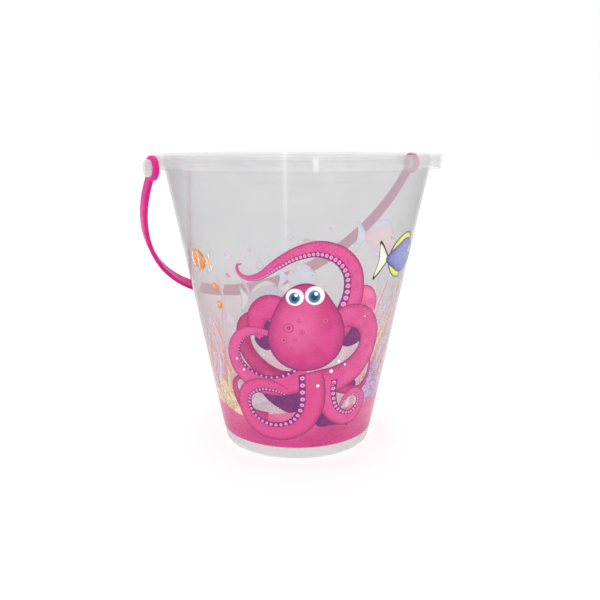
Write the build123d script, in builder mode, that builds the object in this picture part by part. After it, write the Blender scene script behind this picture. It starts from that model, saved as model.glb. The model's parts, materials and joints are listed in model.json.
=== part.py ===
"""Clear plastic sand bucket: a moulded tub, a printed film moulded into its wall, and a carry handle.

The origin is the centre of the ring that the bucket stands on, +Z is up, and the handle's hinge
lies along X. The handle is drawn hanging on the +Y side, where it leans on the wall. Millimetres.
"""

import os
from math import acos, atan, atan2, cos, degrees, hypot, radians, sin, tan

from build123d import *

# Tub
height = 226.0  # standing face to the top of the rim
foot_radius = 58.3  # outside of the wall, at the standing face
mouth_radius = 103.0  # outside of the wall, carried on to the top of the rim
wall = 1.6
floor_height = 7.0  # underside of the floor, above the standing face
floor_thickness = 2.0
floor_corner_radius = 5.0
foot_width = 3.4  # the ring under the floor is thicker than the wall
foot_edge_radius = 2.6
gate_radius = 3.0  # stub that the moulding gate leaves under the floor
gate_drop = 0.6

# Rim: a flat flange with a skirt that hangs from its edge
rim_overhang = 7.0  # how far the rim stands out past the wall
flange_thickness = 1.9
skirt_depth = 10.0  # top of the rim to the skirt's lower edge
skirt_thickness = 1.6
rim_edge_radius = 1.5
mouth_edge_radius = 0.6
skirt_edge_radius = 0.35

# Lugs on the rim, hollow from below, and the headed pins that carry the handle
lug_reach = 7.0  # how far a lug stands out from the rim
lug_plate = 1.8  # thickness of its outer face
lug_rib = 1.5  # thickness of its two sides
lug_face_margin = 0.5  # how much wider than the pin its outer face is, on each side
lug_root_half_width = 10.5
pin_radius = 5.0
head_lip = 1.1  # how far the head stands out round the pin
head_thickness = 2.2
head_edge_radius = 0.9
dish_margin = 2.4  # the head's edge to the shallow recess in its face
dish_depth = 0.5

# Film: one printed strip, wrapped round the wall and flush with it
film_thickness = 0.2
film_bottom = 9.7
film_to_rim = 17.0  # film's upper edge to the top of the rim
film_seam = 1.0  # gap between the film's two ends

# Handle: a straight leg at each end, and half an oval between them
eye_wall = 3.35  # round the hole for the pin
eye_thickness = 4.0
eye_edge_radius = 1.2
eye_clearance = 0.25  # round the pin
side_clearance = 0.35  # between the eye and the lug, and between the eye and the head
leg_length = 14.7  # hinge axis to the start of the bow
leg_width = 6.8
leg_thickness = 3.7  # a little under the eye's, so that the eye leads in every gap
bow_height = 125.5  # start of the bow to its crown, at the middle of the band
crown_width = 12.2
crown_thickness = 2.6
band_edge_radius = 1.1
rest_gap = 0.35  # between the handle and the wall that it leans on

# Worked out from the sizes above
wall_slope = (mouth_radius - foot_radius) / height
rim_radius = mouth_radius + rim_overhang
flange_under = height - flange_thickness
skirt_bottom = height - skirt_depth
floor_top = floor_height + floor_thickness
eye_radius = pin_radius + eye_clearance + eye_wall
pin_z = height - eye_radius  # the eyes are level with the top of the rim
head_radius = pin_radius + head_lip
dish_radius = head_radius - dish_margin
film_top = height - film_to_rim
lug_face = rim_radius + lug_reach
lug_face_half_width = pin_radius + lug_face_margin
eye_middle = lug_face + side_clearance + eye_thickness / 2
head_back = eye_middle + eye_thickness / 2 + side_clearance
head_face = head_back + head_thickness
crown_reach = leg_length + bow_height


def wall_radius(z):
    """Outside radius of the tapered wall at a height."""
    return foot_radius + wall_slope * z


def hang_angle():
    """Angle below the horizontal at which the crown's lower inner edge is rest_gap off the wall."""
    reach = crown_reach - crown_thickness / 2
    across = reach + wall_slope * crown_width / 2
    down = wall_slope * reach - crown_width / 2
    target = wall_radius(pin_z) + rest_gap * hypot(1, wall_slope)
    return atan2(down, across) + acos(target / hypot(across, down))


def bow_outline(half_span, rise):
    """Legs and half an oval of three tangent arcs, closed across the hinge line."""
    side_radius = rise**2 / half_span
    side_turn = 90 - 2 * degrees(atan(rise / (rise + half_span)))
    shift = side_radius - half_span
    crown_centre = leg_length + shift * tan(radians(side_turn))
    crown_radius = side_radius - shift / cos(radians(side_turn))
    right = CenterArc((-shift, leg_length), side_radius, 0, side_turn)
    CenterArc((0, crown_centre), crown_radius, side_turn, 180 - 2 * side_turn)
    left = CenterArc((shift, leg_length), side_radius, 180 - side_turn, side_turn)
    Polyline(left @ 1, (-half_span, 0), (half_span, 0), right @ 0)


def half_plane(side):
    """The plane of X and Z at the hinge's height, with its x axis pointing out to one side."""
    return Plane(origin=(0, 0, pin_z), x_dir=(side, 0, 0), z_dir=(0, -side, 0))


hang = hang_angle()
hinge = Axis((0, 0, pin_z), (1, 0, 0))

# Tub: one section turned round the axis
with BuildPart() as tub:
    with BuildSketch(Plane.XZ) as section:
        foot_inner = wall_radius(0) - foot_width
        inner_floor_corner = (wall_radius(floor_top) - wall, floor_top)
        mouth_corner = (wall_radius(height) - wall, height)
        skirt_inner = rim_radius - skirt_thickness
        with BuildLine():
            Polyline(
                (0, floor_height),
                (foot_inner, floor_height),
                (foot_inner, 0),
                (wall_radius(0), 0),
                (wall_radius(flange_under), flange_under),
                (skirt_inner, flange_under),
                (skirt_inner, skirt_bottom),
                (rim_radius, skirt_bottom),
                (rim_radius, height),
                mouth_corner,
                inner_floor_corner,
                (0, floor_top),
                close=True,
            )
        make_face()
        corners = section.vertices()
        fillet(corners.sort_by_distance((wall_radius(0), 0))[0], min(foot_edge_radius, 0.9 * foot_width))
        fillet(corners.sort_by_distance((rim_radius, height))[0], min(rim_edge_radius, 0.9 * skirt_thickness))
        fillet(corners.sort_by_distance(mouth_corner)[0], mouth_edge_radius)
        fillet(corners.sort_by_distance(inner_floor_corner)[0], floor_corner_radius)
        for edge_x in (skirt_inner, rim_radius):
            fillet(corners.sort_by_distance((edge_x, skirt_bottom))[0], skirt_edge_radius)
    revolve(axis=Axis.Z)

    # gate stub under the floor
    with BuildSketch(Plane.XY.offset(floor_height - gate_drop)):
        Circle(gate_radius)
    extrude(amount=gate_drop)

    for side in (-1, 1):
        # lug: it grows out of the skirt and narrows towards its outer face
        with BuildSketch(Plane.XY.offset(skirt_bottom)):
            lug_root = rim_radius - skirt_thickness / 2
            narrowing = (lug_root_half_width - lug_face_half_width) / (lug_face - lug_root)
            Polygon(
                (lug_root * side, -lug_root_half_width),
                (lug_face * side, -lug_face_half_width),
                (lug_face * side, lug_face_half_width),
                (lug_root * side, lug_root_half_width),
                align=None,
            )
            Circle(lug_root, mode=Mode.SUBTRACT)
        extrude(amount=skirt_depth)
        with BuildSketch(Plane.XY.offset(skirt_bottom)):
            pocket_face = lug_face - lug_plate
            pocket_half_width = lug_face_half_width + narrowing * lug_plate - lug_rib
            Polygon(
                (lug_root * side, lug_rib - lug_root_half_width),
                (pocket_face * side, -pocket_half_width),
                (pocket_face * side, pocket_half_width),
                (lug_root * side, lug_root_half_width - lug_rib),
                align=None,
            )
            Circle(rim_radius, mode=Mode.SUBTRACT)
        extrude(amount=skirt_depth - flange_thickness, mode=Mode.SUBTRACT)

        # rounded tab that carries the outer face down behind the pin
        tab_plane = Plane(origin=(pocket_face * side, 0, pin_z), x_dir=(0, side, 0), z_dir=(side, 0, 0))
        with BuildSketch(tab_plane):
            Circle(lug_face_half_width)
            with Locations((0, eye_radius / 2)):
                Rectangle(2 * lug_face_half_width, eye_radius)
        extrude(amount=lug_plate)

        # pin and head
        with BuildSketch(half_plane(side)) as pin_section:
            with BuildLine():
                Polyline(
                    (pocket_face, 0),
                    (pocket_face, pin_radius),
                    (head_back, pin_radius),
                    (head_back, head_radius),
                    (head_face, head_radius),
                    (head_face, dish_radius),
                    (head_face - dish_depth, dish_radius - dish_depth),
                    (head_face - dish_depth, 0),
                    close=True,
                )
            make_face()
            head_corner = pin_section.vertices().sort_by_distance((head_face, head_radius))[0]
            fillet(head_corner, head_edge_radius)
        revolve(axis=hinge)

    # shallow seat for the film
    with BuildSketch(Plane.XZ):
        Polygon(
            (wall_radius(film_bottom) - film_thickness, film_bottom),
            (wall_radius(film_bottom) + wall, film_bottom),
            (wall_radius(film_top) + wall, film_top),
            (wall_radius(film_top) - film_thickness, film_top),
            align=None,
        )
    revolve(axis=Axis.Z, mode=Mode.SUBTRACT)

# Film: the wall's taper, with a gap where the two ends meet under the +X lug
with BuildPart() as printed_film:
    with BuildSketch(Plane.XZ):
        Polygon(
            (wall_radius(film_bottom) - film_thickness, film_bottom),
            (wall_radius(film_bottom), film_bottom),
            (wall_radius(film_top), film_top),
            (wall_radius(film_top) - film_thickness, film_top),
            align=None,
        )
    revolve(axis=Axis.Z)
    with BuildSketch(Plane.XY.offset(film_bottom)):
        with Locations((mouth_radius / 2, 0)):
            Rectangle(mouth_radius, film_seam)
    extrude(amount=film_top - film_bottom, mode=Mode.SUBTRACT)

# Handle: drawn in the plane in which it hangs
bow_plane = Plane(origin=(0, 0, pin_z), x_dir=(1, 0, 0), z_dir=(0, sin(hang), cos(hang)))
side_plane = Plane(origin=(0, 0, pin_z), x_dir=bow_plane.y_dir, z_dir=bow_plane.x_dir)
with BuildPart() as handle:
    with BuildSketch(bow_plane.offset(-crown_width)):
        for out, mode in ((1, Mode.ADD), (-1, Mode.SUBTRACT)):
            with BuildLine():
                bow_outline(eye_middle + out * leg_thickness / 2, bow_height + out * crown_thickness / 2)
            make_face(mode=mode)
    extrude(amount=2 * crown_width)
    # the band widens from the eyes to the crown
    with BuildSketch(side_plane.offset(-2 * eye_middle)):
        past_crown = crown_reach + crown_thickness
        end_half_width = (leg_width + (crown_width - leg_width) * past_crown / crown_reach) / 2
        Polygon(
            (0, -leg_width / 2),
            (past_crown, -end_half_width),
            (past_crown, end_half_width),
            (0, leg_width / 2),
            align=None,
        )
    extrude(amount=4 * eye_middle, mode=Mode.INTERSECT)
    fillet(handle.edges(), min(band_edge_radius, 0.45 * crown_thickness, 0.45 * leg_thickness))

    for side in (-1, 1):
        with BuildSketch(half_plane(side)) as eye_section:
            with Locations((eye_middle, eye_radius / 2)):
                Rectangle(eye_thickness, eye_radius)
            eye_edges = eye_section.vertices().sort_by(Axis.Y)[-2:]
            fillet(eye_edges, min(eye_edge_radius, 0.45 * eye_thickness))
        revolve(axis=hinge)
    for side in (-1, 1):
        with BuildSketch(Plane(origin=(lug_face * side, 0, pin_z), z_dir=(side, 0, 0))):
            Circle(pin_radius + eye_clearance)
        extrude(amount=head_face - lug_face, mode=Mode.SUBTRACT)

os.makedirs("parts", exist_ok=True)
for name, piece in (("tub", tub), ("printed_film", printed_film), ("handle", handle)):
    piece.part.label = name
    export_step(piece.part, f"parts/{name}.step")

# the swing runs from leaning on one side of the wall to leaning on the other
print(f"hang {degrees(hang):.3f} degrees below the horizontal, swing {180 + 2 * degrees(hang):.3f} degrees")
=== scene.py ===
"""A clear sand bucket with a sea scene printed on its wall and a carry handle that swings on two pins.

The tub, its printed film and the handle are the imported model's own nodes. This script gives them their
plastics, and lays the printed pictures on the wall as thin sheets of ink.
"""

import json
import logging
import math
from bisect import bisect_right
from dataclasses import dataclass, field
from enum import Enum
from typing import Callable, Optional, Sequence, Union

import bmesh
import bpy
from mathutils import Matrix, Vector

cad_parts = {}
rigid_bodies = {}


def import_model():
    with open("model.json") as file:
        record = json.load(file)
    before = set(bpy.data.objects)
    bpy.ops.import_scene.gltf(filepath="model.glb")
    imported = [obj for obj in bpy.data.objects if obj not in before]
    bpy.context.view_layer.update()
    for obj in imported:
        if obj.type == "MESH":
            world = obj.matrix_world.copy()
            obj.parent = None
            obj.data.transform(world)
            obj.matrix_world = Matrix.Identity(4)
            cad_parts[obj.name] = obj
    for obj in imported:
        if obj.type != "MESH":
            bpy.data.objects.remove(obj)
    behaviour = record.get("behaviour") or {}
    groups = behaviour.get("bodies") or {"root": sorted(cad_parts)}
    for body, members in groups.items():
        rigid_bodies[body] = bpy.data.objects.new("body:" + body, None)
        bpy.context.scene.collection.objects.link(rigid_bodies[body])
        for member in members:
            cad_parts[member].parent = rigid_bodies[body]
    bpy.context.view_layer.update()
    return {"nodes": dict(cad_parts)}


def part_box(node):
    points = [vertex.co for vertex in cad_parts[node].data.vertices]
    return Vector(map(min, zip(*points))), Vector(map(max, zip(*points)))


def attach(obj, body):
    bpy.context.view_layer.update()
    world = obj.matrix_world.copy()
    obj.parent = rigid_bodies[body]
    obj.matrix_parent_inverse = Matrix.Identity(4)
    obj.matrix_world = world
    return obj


log = logging.getLogger("sand_bucket")

MM = 0.001
TINY = 1e-9
CLEAR_BOUNCES = 64  # a ray may cross many sheets of ink and plastic
Point = tuple[float, float]
Station = tuple[float, float, float]  # across and up the wall, and a half width there
Spot = tuple[float, float, float, float]  # across and up the wall, and two values for the ink
Socket = bpy.types.NodeSocket
Number = Union[float, Socket]


# ---------------------------------------------------------------- colours and node graphs


@dataclass(frozen=True)
class Tone:
    """A printer's colour: red, green and blue from 0 to 255."""

    red: float
    green: float
    blue: float

    def linear(self) -> tuple[float, float, float, float]:
        """The colour as a shader socket takes it.

        Returns:
            Linear red, green and blue, and 1.
        """
        parts = [v / 255 for v in (self.red, self.green, self.blue)]
        lit = [v / 12.92 if v <= 0.04045 else ((v + 0.055) / 1.055) ** 2.4 for v in parts]
        return (*lit, 1.0)


Colour = Union[Tone, Socket]
Stops = tuple[tuple[float, Tone], ...]


def stops(*rows: tuple[float, float, float, float]) -> Stops:
    """Places along a ramp, each followed by its red, green and blue in the call."""
    return tuple((place, Tone(*tone)) for place, *tone in rows)


class Graph:
    """A material's node graph, written one socket at a time."""

    def __init__(self, name: str) -> None:
        """Starts an empty graph for a new material.

        Args:
            name: The material's name.
        """
        self.material = bpy.data.materials.new(name)
        self.material.use_nodes = True
        self.tree = self.material.node_tree
        self.tree.nodes.clear()
        self._place: Optional[Socket] = None
        self._print: Optional[tuple[Socket, ...]] = None

    def add(self, kind: str, **settings: object) -> bpy.types.Node:
        """Adds a node.

        Args:
            kind: The node's type.
            **settings: Its properties.

        Returns:
            The node.
        """
        node = self.tree.nodes.new(kind)
        for key, value in settings.items():
            setattr(node, key, value)
        return node

    def put(self, socket: Socket, value: Union[Number, Colour, Sequence[float]]) -> None:
        """Feeds an input from a socket, or sets it.

        Args:
            socket: The input.
            value: An output socket, a colour, a number or a vector.
        """
        if isinstance(value, Socket):
            self.tree.links.new(value, socket)
        elif isinstance(value, Tone):
            socket.default_value = value.linear()
        else:
            socket.default_value = value

    def math(self, operation: str, first: Number, second: Number = 0.0, third: Number = 0.0) -> Socket:
        """One step of arithmetic.

        Args:
            operation: The Math node's operation.
            first: Its first input.
            second: Its second input.
            third: Its third input.

        Returns:
            The result.
        """
        node = self.add("ShaderNodeMath", operation=operation)
        for socket, value in zip(node.inputs, (first, second, third)):
            self.put(socket, value)
        return node.outputs[0]

    def step(self, value: Number, low: float, high: float, bottom: float = 0.0, top: float = 1.0) -> Socket:
        """A soft step.

        Args:
            value: What the step goes by.
            low: Where it starts, which may be over high.
            high: Where it ends.
            bottom: What it gives at its start.
            top: What it gives at its end.

        Returns:
            A value from bottom to top.
        """
        node = self.add("ShaderNodeMapRange", interpolation_type="SMOOTHSTEP")
        for socket, part in zip(node.inputs, (value, low, high, bottom, top)):
            self.put(socket, part)
        return node.outputs[0]

    def mix(self, factor: Number, first: Colour, second: Colour) -> Socket:
        """Mixes two colours.

        Args:
            factor: The share of the second.
            first: The colour at 0.
            second: The colour at 1.

        Returns:
            The mixed colour.
        """
        node = self.add("ShaderNodeMix", data_type="RGBA")
        self.put(node.inputs[0], factor)
        self.put(node.inputs[6], first)
        self.put(node.inputs[7], second)
        return node.outputs[2]

    def ramp(self, value: Number, row: Stops) -> Socket:
        """A colour that runs through a row of tones.

        Args:
            value: Where on the row, from 0 to 1.
            row: The tones and their places.

        Returns:
            The colour.
        """
        node = self.add("ShaderNodeValToRGB")
        elements = node.color_ramp.elements
        while len(elements) < len(row):
            elements.new(0.5)
        for element, (place, tone) in zip(elements, row):
            element.position = place
            element.color = tone.linear()
        self.put(node.inputs[0], value)
        return node.outputs[0]

    def times(self, first: Number, second: Number) -> Socket:
        """The product of two numbers."""
        return self.math("MULTIPLY", first, second)

    @property
    def place(self) -> Socket:
        """Object coordinates, in metres.

        Returns:
            The socket.
        """
        if self._place is None:
            self._place = self.add("ShaderNodeTexCoord").outputs["Object"]
        return self._place

    def axes(self) -> tuple[Socket, ...]:
        """X, Y and Z of Object coordinates, in metres.

        Returns:
            The three sockets.
        """
        node = self.add("ShaderNodeSeparateXYZ")
        self.put(node.inputs[0], self.place)
        return tuple(node.outputs)

    def length(self, first: Number, second: Number) -> Socket:
        """The length of a flat vector."""
        return self.math("SQRT", self.math("MULTIPLY_ADD", first, first, self.times(second, second)))

    def depth(self, wall: "WallCone") -> Socket:
        """How far inside the wall's outer surface a point is, in metres.

        Args:
            wall: The wall.

        Returns:
            The depth, which is negative outside.
        """
        x, y, z = self.axes()
        surface = self.math("MULTIPLY_ADD", z, wall.slope, wall.foot_radius * MM)
        return self.math("SUBTRACT", surface, self.length(x, y))

    def printed(self) -> tuple[Socket, ...]:
        """The place in a printed shape.

        Returns:
            Across, along, and 1 on the side that faces into the tub.
        """
        if self._print is None:
            node = self.add("ShaderNodeSeparateXYZ")
            mark = self.add("ShaderNodeAttribute", attribute_name=PRINT)
            self.put(node.inputs[0], mark.outputs["Vector"])
            self._print = tuple(node.outputs)
        return self._print

    def out(self, middle: Point = (0.0, 0.0)) -> Socket:
        """The distance from a place in a printed shape, in shares of the shape's size."""
        right, up, _ = self.printed()
        return self.length(self.math("SUBTRACT", right, middle[0]), self.math("SUBTRACT", up, middle[1]))

    def noise(
        self, size: float, detail: float = 2.0, roughness: float = 0.5, stretch: Sequence[float] = (1, 1, 1)
    ) -> Socket:
        """Noise on Object coordinates.

        Args:
            size: The size of its lumps, in millimetres.
            detail: How many finer layers it has.
            roughness: How strong they are.
            stretch: How much denser it is along X, Y and Z.

        Returns:
            Values about 0.5.
        """
        mapping = self.add("ShaderNodeMapping")
        self.put(mapping.inputs["Vector"], self.place)
        mapping.inputs["Scale"].default_value = stretch
        node = self.add("ShaderNodeTexNoise")
        self.put(node.inputs["Vector"], mapping.outputs[0])
        self.put(node.inputs["Scale"], 1 / (size * MM))
        self.put(node.inputs["Detail"], detail)
        self.put(node.inputs["Roughness"], roughness)
        return node.outputs["Fac"]

    def cells(self, size: float) -> Socket:
        """Cells packed together.

        Args:
            size: Their size, in millimetres.

        Returns:
            The distance from a cell's middle.
        """
        node = self.add("ShaderNodeTexVoronoi")
        self.put(node.inputs["Vector"], self.place)
        self.put(node.inputs["Scale"], 1 / (size * MM))
        return node.outputs["Distance"]

    def skin(self, colour: Colour, shine: "Shine", cover: Number = 1.0) -> bpy.types.Node:
        """A Principled shader whose roughness and bump come from noise.

        Args:
            colour: Its base colour.
            shine: Its roughness and bump.
            cover: How solid it is.

        Returns:
            The shader node.
        """
        node = self.add("ShaderNodeBsdfPrincipled")
        self.put(node.inputs["Base Color"], colour)
        speck = self.noise(shine.grain, 3.0)
        self.put(node.inputs["Roughness"], self.step(speck, 0.3, 0.7, shine.smooth, shine.rough))
        bump = self.add("ShaderNodeBump")
        bump.inputs["Strength"].default_value = shine.relief
        bump.inputs["Distance"].default_value = shine.depth * MM
        self.put(bump.inputs["Height"], self.noise(shine.ripple, 2.0))
        self.put(node.inputs["Normal"], bump.outputs[0])
        node.inputs["IOR"].default_value = shine.index
        self.put(node.inputs["Alpha"], cover)
        return node

    def close(self, shader: Socket) -> bpy.types.Material:
        """Connects the last shader and hands the material over."""
        self.put(self.add("ShaderNodeOutputMaterial").inputs["Surface"], shader)
        return self.material


@dataclass(frozen=True)
class Shine:
    """How a surface takes the light. Sizes are in millimetres."""

    smooth: float = 0.22
    rough: float = 0.34
    grain: float = 1.4
    ripple: float = 9.0
    relief: float = 0.25
    depth: float = 0.25
    index: float = 1.49


# ---------------------------------------------------------------- plastics


@dataclass(frozen=True)
class ClearPlastic:
    """The tub's clear polypropylene: each surface adds a little milk, more where the moulding is thick. Edge
    on, a painted shade darkens its colour.

    Under the film the two plastics are fused, so neither face between them shows, except in the narrow gap
    at the film's seam. Places and depths are in metres, and the clouds' sizes in millimetres.
    """

    wall: "WallCone"
    milk: Tone = Tone(182, 182, 184)
    rim_milk: Tone = Tone(194, 192, 194)
    # painted shade: the darker colour the plastic takes edge on, standing in for light the plastic bends away
    painted_edge_shade: Tone = Tone(104, 102, 103)
    pin_milk: Tone = Tone(230, 224, 226)
    foot_milk: Tone = Tone(203, 193, 197)
    haze: float = 0.24
    rim_haze: float = 0.13
    edge_haze_and_shade: float = 0.85
    rim_edge_haze_and_shade: float = 0.25
    pin_haze: float = 0.62
    foot_haze: float = 0.36
    cloud_size: float = 30.0
    cloud_haze: float = 0.02
    rim_bottom: float = 0.2155
    rim_fade: float = 0.001
    foot_top: float = 0.0105
    foot_fade: float = 0.0015
    pin_start: float = 0.1185
    pin_fade: float = 0.0006
    edge_power: float = 4.0  # how close to edge on the haze and the painted edge shade grow
    glance_power: float = 5.0
    glance: float = 0.04  # the mirror's share face on, and how much more it has edge on
    gloss: float = 0.75
    mirror_roughness: float = 0.08
    shine: Shine = Shine(0.05, 0.12, 2.5, 26.0, 0.22, 0.5)
    tints: Stops = stops((0.36, 196, 170, 196), (0.48, 210, 178, 188), (0.6, 218, 168, 178),
                         (0.7, 216, 180, 154))
    tint_size: float = 24.0
    tint_top: float = 0.17
    tint_full: float = 0.06
    tint_share: float = 0.3
    tint_haze: float = 0.6
    tint_colour: float = 3.4
    fused_depth: float = 0.00022
    fused_slack: float = 0.00014
    fused_height: float = 0.1094  # the middle of the film, and how far it reaches up and down from there
    fused_reach: float = 0.0994
    skin_depth: float = 0.0001
    seam: float = 0.0005  # half the gap, and half of it with the film's cut ends
    seam_ends: float = 0.00053

    def glaze(
        self, g: Graph, colour: Colour, haze: Number, edge_haze_and_shade: Number, shown: Number
    ) -> bpy.types.Material:
        """Closes a graph with a hazy skin under a clear gloss. Both grow where the surface turns away, and
        there the skin's colour also darkens as painted shade.

        Args:
            g: The graph.
            colour: The haze's colour.
            haze: How solid it is face on.
            edge_haze_and_shade: How much more solid it is edge on, and how far its colour turns to the
                painted edge shade.
            shown: 0 where the face doesn't show.

        Returns:
            The material.
        """
        facing = g.add("ShaderNodeLayerWeight")
        facing.inputs["Blend"].default_value = 0.5
        slant = facing.outputs["Facing"]
        # how much more solid the haze grows edge on, and how far the colour turns to the painted edge shade
        edge = g.times(g.math("POWER", slant, self.edge_power), edge_haze_and_shade)
        cover = g.math("ADD", haze, g.times(g.math("SUBTRACT", 1.0, haze), edge))
        glance = g.math("MULTIPLY_ADD", g.math("POWER", slant, self.glance_power), self.glance, self.glance)
        # painted shade: edge on, the colour darkens towards the painted edge shade
        skin = g.skin(g.mix(edge, colour, self.painted_edge_shade), self.shine, g.times(cover, shown))
        mirror = g.add("ShaderNodeBsdfGlossy")
        mirror.inputs["Roughness"].default_value = self.mirror_roughness
        top = g.add("ShaderNodeMixShader")
        mirrored = g.times(g.times(glance, self.gloss), shown)
        for socket, value in zip(top.inputs, (mirrored, skin.outputs[0], mirror.outputs[0])):
            g.put(socket, value)
        return g.close(top.outputs[0])

    def off_seam(self, g: Graph, gap: float) -> Socket:
        """Where the film's seam isn't.

        Args:
            g: The graph.
            gap: Half the width that counts as the seam.

        Returns:
            0 at the seam, which faces +X, and 1 elsewhere.
        """
        x, y, _ = g.axes()
        beside = g.math("GREATER_THAN", g.math("ABSOLUTE", y), gap)
        return g.math("MAXIMUM", beside, g.math("LESS_THAN", x, 0.0))

    def material(self) -> bpy.types.Material:
        """Builds the tub's material, with a milk of its own for the wall, the rim, the pins and the foot.

        Returns:
            The material.
        """
        g = Graph("clear_plastic")
        x, _, z = g.axes()
        pin = g.step(g.math("ABSOLUTE", x), self.pin_start - self.pin_fade, self.pin_start)
        foot = g.step(z, self.foot_top, self.foot_top - self.foot_fade)
        rim = g.step(z, self.rim_bottom, self.rim_bottom + self.rim_fade)
        haze = g.math("MULTIPLY_ADD", rim, self.rim_haze - self.haze, self.haze)
        cloud = g.step(g.noise(self.cloud_size, 3.0), 0.3, 0.7, -self.cloud_haze, self.cloud_haze)
        haze = g.math("ADD", haze, cloud)
        haze = g.math("MULTIPLY_ADD", pin, self.pin_haze - self.haze, haze)
        haze = g.math("MULTIPLY_ADD", foot, self.foot_haze - self.haze, haze)
        deep = g.math("COMPARE", g.depth(self.wall), self.fused_depth, self.fused_slack)
        behind = g.math("COMPARE", z, self.fused_height, self.fused_reach)
        fused = g.times(g.times(deep, behind), self.off_seam(g, self.seam))
        colour = g.mix(pin, g.mix(rim, self.milk, self.rim_milk), self.pin_milk)
        colour = g.mix(foot, colour, self.foot_milk)
        edge_haze_and_shade = g.math("MULTIPLY_ADD", rim, self.rim_edge_haze_and_shade - self.edge_haze_and_shade, self.edge_haze_and_shade)
        return self.glaze(g, colour, haze, edge_haze_and_shade, g.math("SUBTRACT", 1.0, fused))

    def film(self) -> bpy.types.Material:
        """Builds the film's ground: the tub's plastic, with a soft pink and lilac water tint lower down.

        Returns:
            The material.
        """
        g = Graph("printed_film")
        cloud = g.noise(self.tint_size, 3.0, 0.55, (1, 1, 0.6))
        low = g.step(g.axes()[2], self.tint_top, self.tint_full, 0.0, self.tint_share)
        low = g.times(low, g.step(cloud, 0.3, 0.65, 0.55, 1.15))
        haze = g.math("ADD", self.haze, g.times(low, self.tint_haze))
        tinted = g.math("MINIMUM", g.times(low, self.tint_colour), 1.0)
        colour = g.mix(tinted, self.milk, g.ramp(cloud, self.tints))
        outer = g.math("LESS_THAN", g.depth(self.wall), self.skin_depth)
        return self.glaze(g, colour, haze, self.edge_haze_and_shade, g.times(self.off_seam(g, self.seam_ends), outer))


@dataclass(frozen=True)
class ColouredPlastic:
    """The handle's opaque gloss polypropylene, with faint flow marks."""

    deep: Tone = Tone(204, 34, 130)
    bright: Tone = Tone(216, 46, 139)
    shine: Shine = Shine(0.3, 0.42, 1.1, 5.0, 0.2, 0.12, 1.28)
    glow: float = 0.6  # how much light goes in and comes out again, and how far each colour of it goes
    glow_reach: tuple[float, float, float] = (1.0, 0.22, 0.45)
    glow_depth: float = 3.0
    specular: float = 0.3

    def material(self) -> bpy.types.Material:
        """Builds the material.

        Returns:
            The material.
        """
        g = Graph("handle_plastic")
        flow = g.noise(16.0, 4.0, 0.6, (1, 1, 0.35))
        colour = g.mix(g.step(flow, 0.3, 0.7), self.deep, self.bright)
        node = g.skin(colour, self.shine)
        node.inputs["Subsurface Weight"].default_value = self.glow
        node.inputs["Subsurface Radius"].default_value = self.glow_reach
        node.inputs["Subsurface Scale"].default_value = self.glow_depth * MM
        node.inputs["Specular IOR Level"].default_value = self.specular
        return g.close(node.outputs[0])


# ---------------------------------------------------------------- inks

PRINT = "print"
SHARP = math.radians(50)
WHITE = Tone(250, 246, 250)


@dataclass(frozen=True)
class Ink:
    """A printed colour. Seen from inside the tub it shows more of its white ground, and its inner face has a
    painted glow.
    """

    name: str
    tone: Tone
    second: Tone
    lump: float = 8.0
    cover: float = 1.0
    inside_white: float = 0.5
    through: float = 0.42  # painted glow on the inner face, standing in for light from outside that comes through
    shine: Shine = Shine()

    def clouds(self, g: Graph, stretch: Sequence[float] = (1, 1, 1)) -> Socket:
        """The ink's two tones, in soft clouds that may be stretched."""
        return g.mix(g.step(g.noise(self.lump, 3.0, 0.5, stretch), 0.35, 0.65), self.tone, self.second)

    def colour(self, g: Graph) -> Socket:
        """The ink's colour."""
        return self.clouds(g)

    def solid(self, g: Graph) -> Number:
        """How much the ink covers, from 0 to 1."""
        return self.cover

    def material(self) -> bpy.types.Material:
        """Builds the material.

        Returns:
            The material.
        """
        g = Graph("ink_" + self.name)
        inner = g.times(g.printed()[2], self.inside_white)
        colour = g.mix(inner, self.colour(g), WHITE)
        node = g.skin(colour, self.shine, self.solid(g))
        # painted glow: the inner face glows in the ink's colour, in place of light from outside coming
        # through the ink
        g.put(node.inputs["Emission Color"], colour)
        g.put(node.inputs["Emission Strength"], g.times(g.printed()[2], self.through))
        return g.close(node.outputs[0])


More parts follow.
